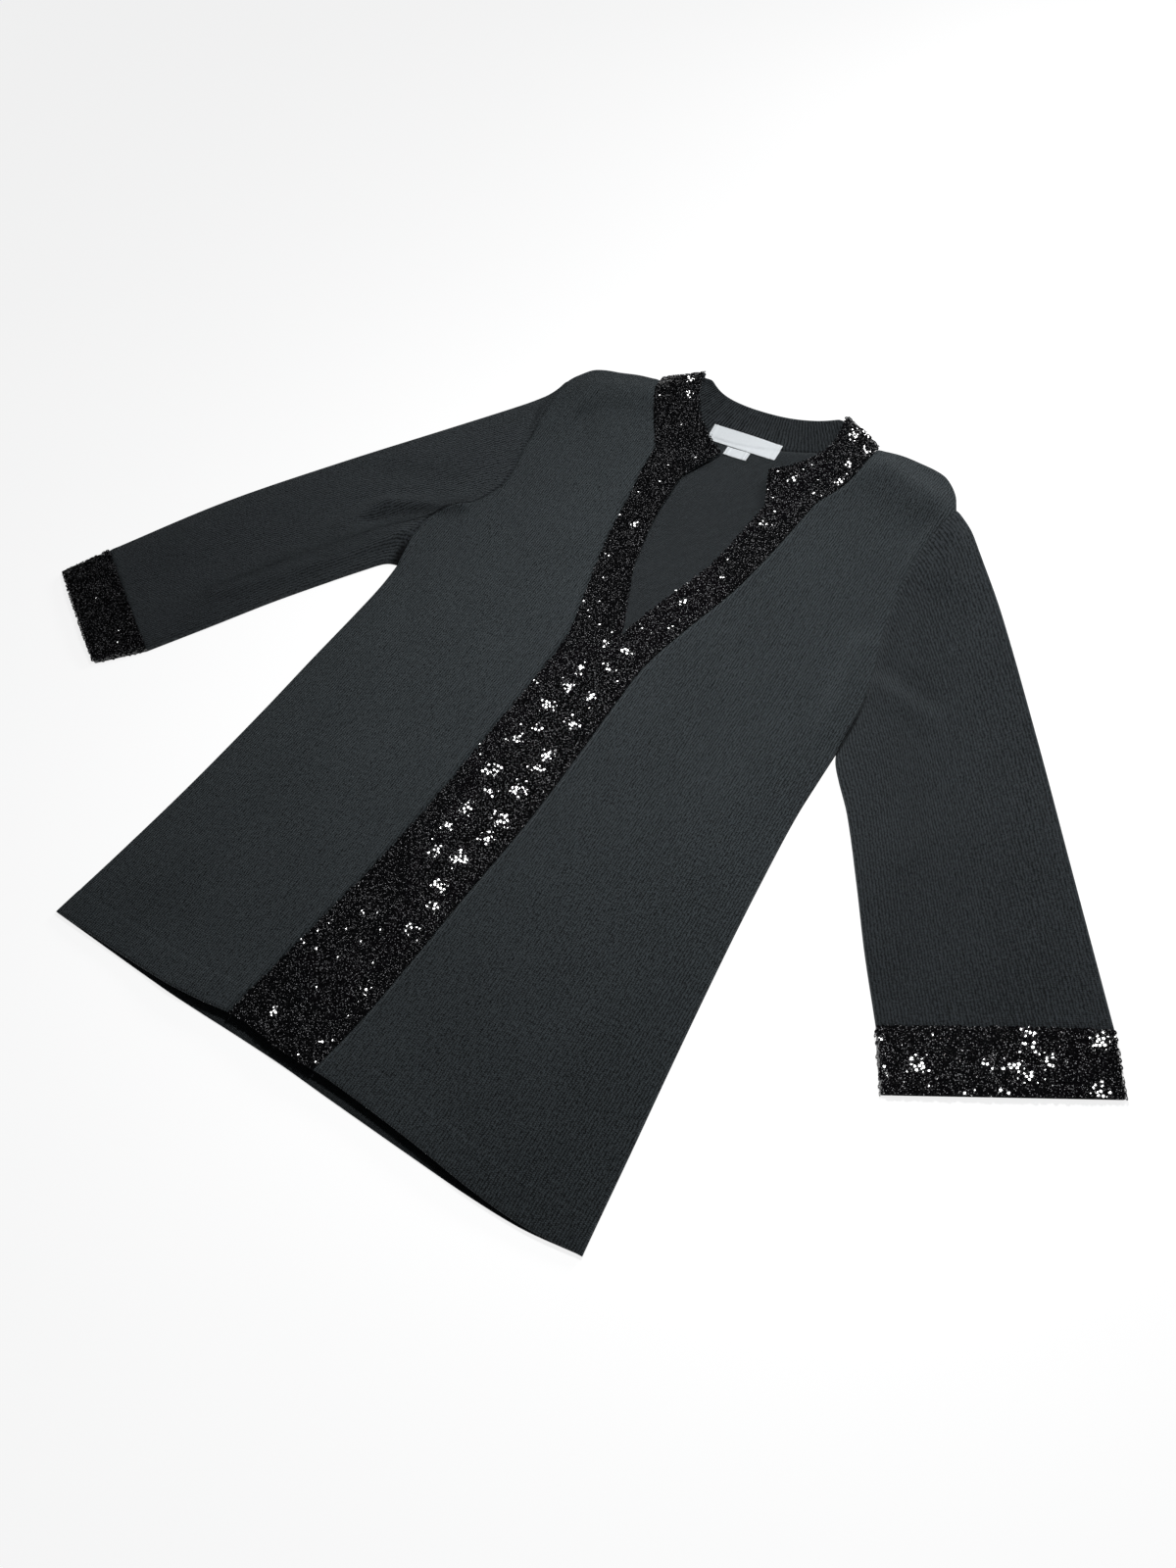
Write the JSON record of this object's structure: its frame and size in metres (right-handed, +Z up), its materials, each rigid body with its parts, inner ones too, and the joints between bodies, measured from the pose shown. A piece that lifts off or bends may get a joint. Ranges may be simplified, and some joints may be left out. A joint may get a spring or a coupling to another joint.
{
  "type": "open-front cardigan",
  "caption": "Open-front knitted cardigan laid flat, front up, with sleeves spread, a stand collar, and sequinned front bands, collar and cuffs.",
  "frame": {"origin": "bottom centre of the laid garment's box, on the surface that it lies on", "axes": "+Z up from the surface; +Y from the hem to the neck; +X to the wearer's left"},
  "size_m": [1.0756, 0.7968, 0.0151],
  "materials": {
    "knit": "dense fine knit, matt with a faint sparkle",
    "rib": "ribbed knit, matt",
    "sequins": "black cup sequins sewn close together on knit, glossy",
    "label": "white woven tape, blank"
  },
  "bodies": {
    "root": {"back": "knit", "front_right": "knit", "front_left": "knit", "sleeve_right": "knit", "sleeve_left": "knit", "band_right": "sequins", "band_left": "sequins", "cuff_right": "sequins", "cuff_left": "sequins", "collar": "rib", "neck_label": "label", "size_tab": "label"}
  },
  "joints": []
}
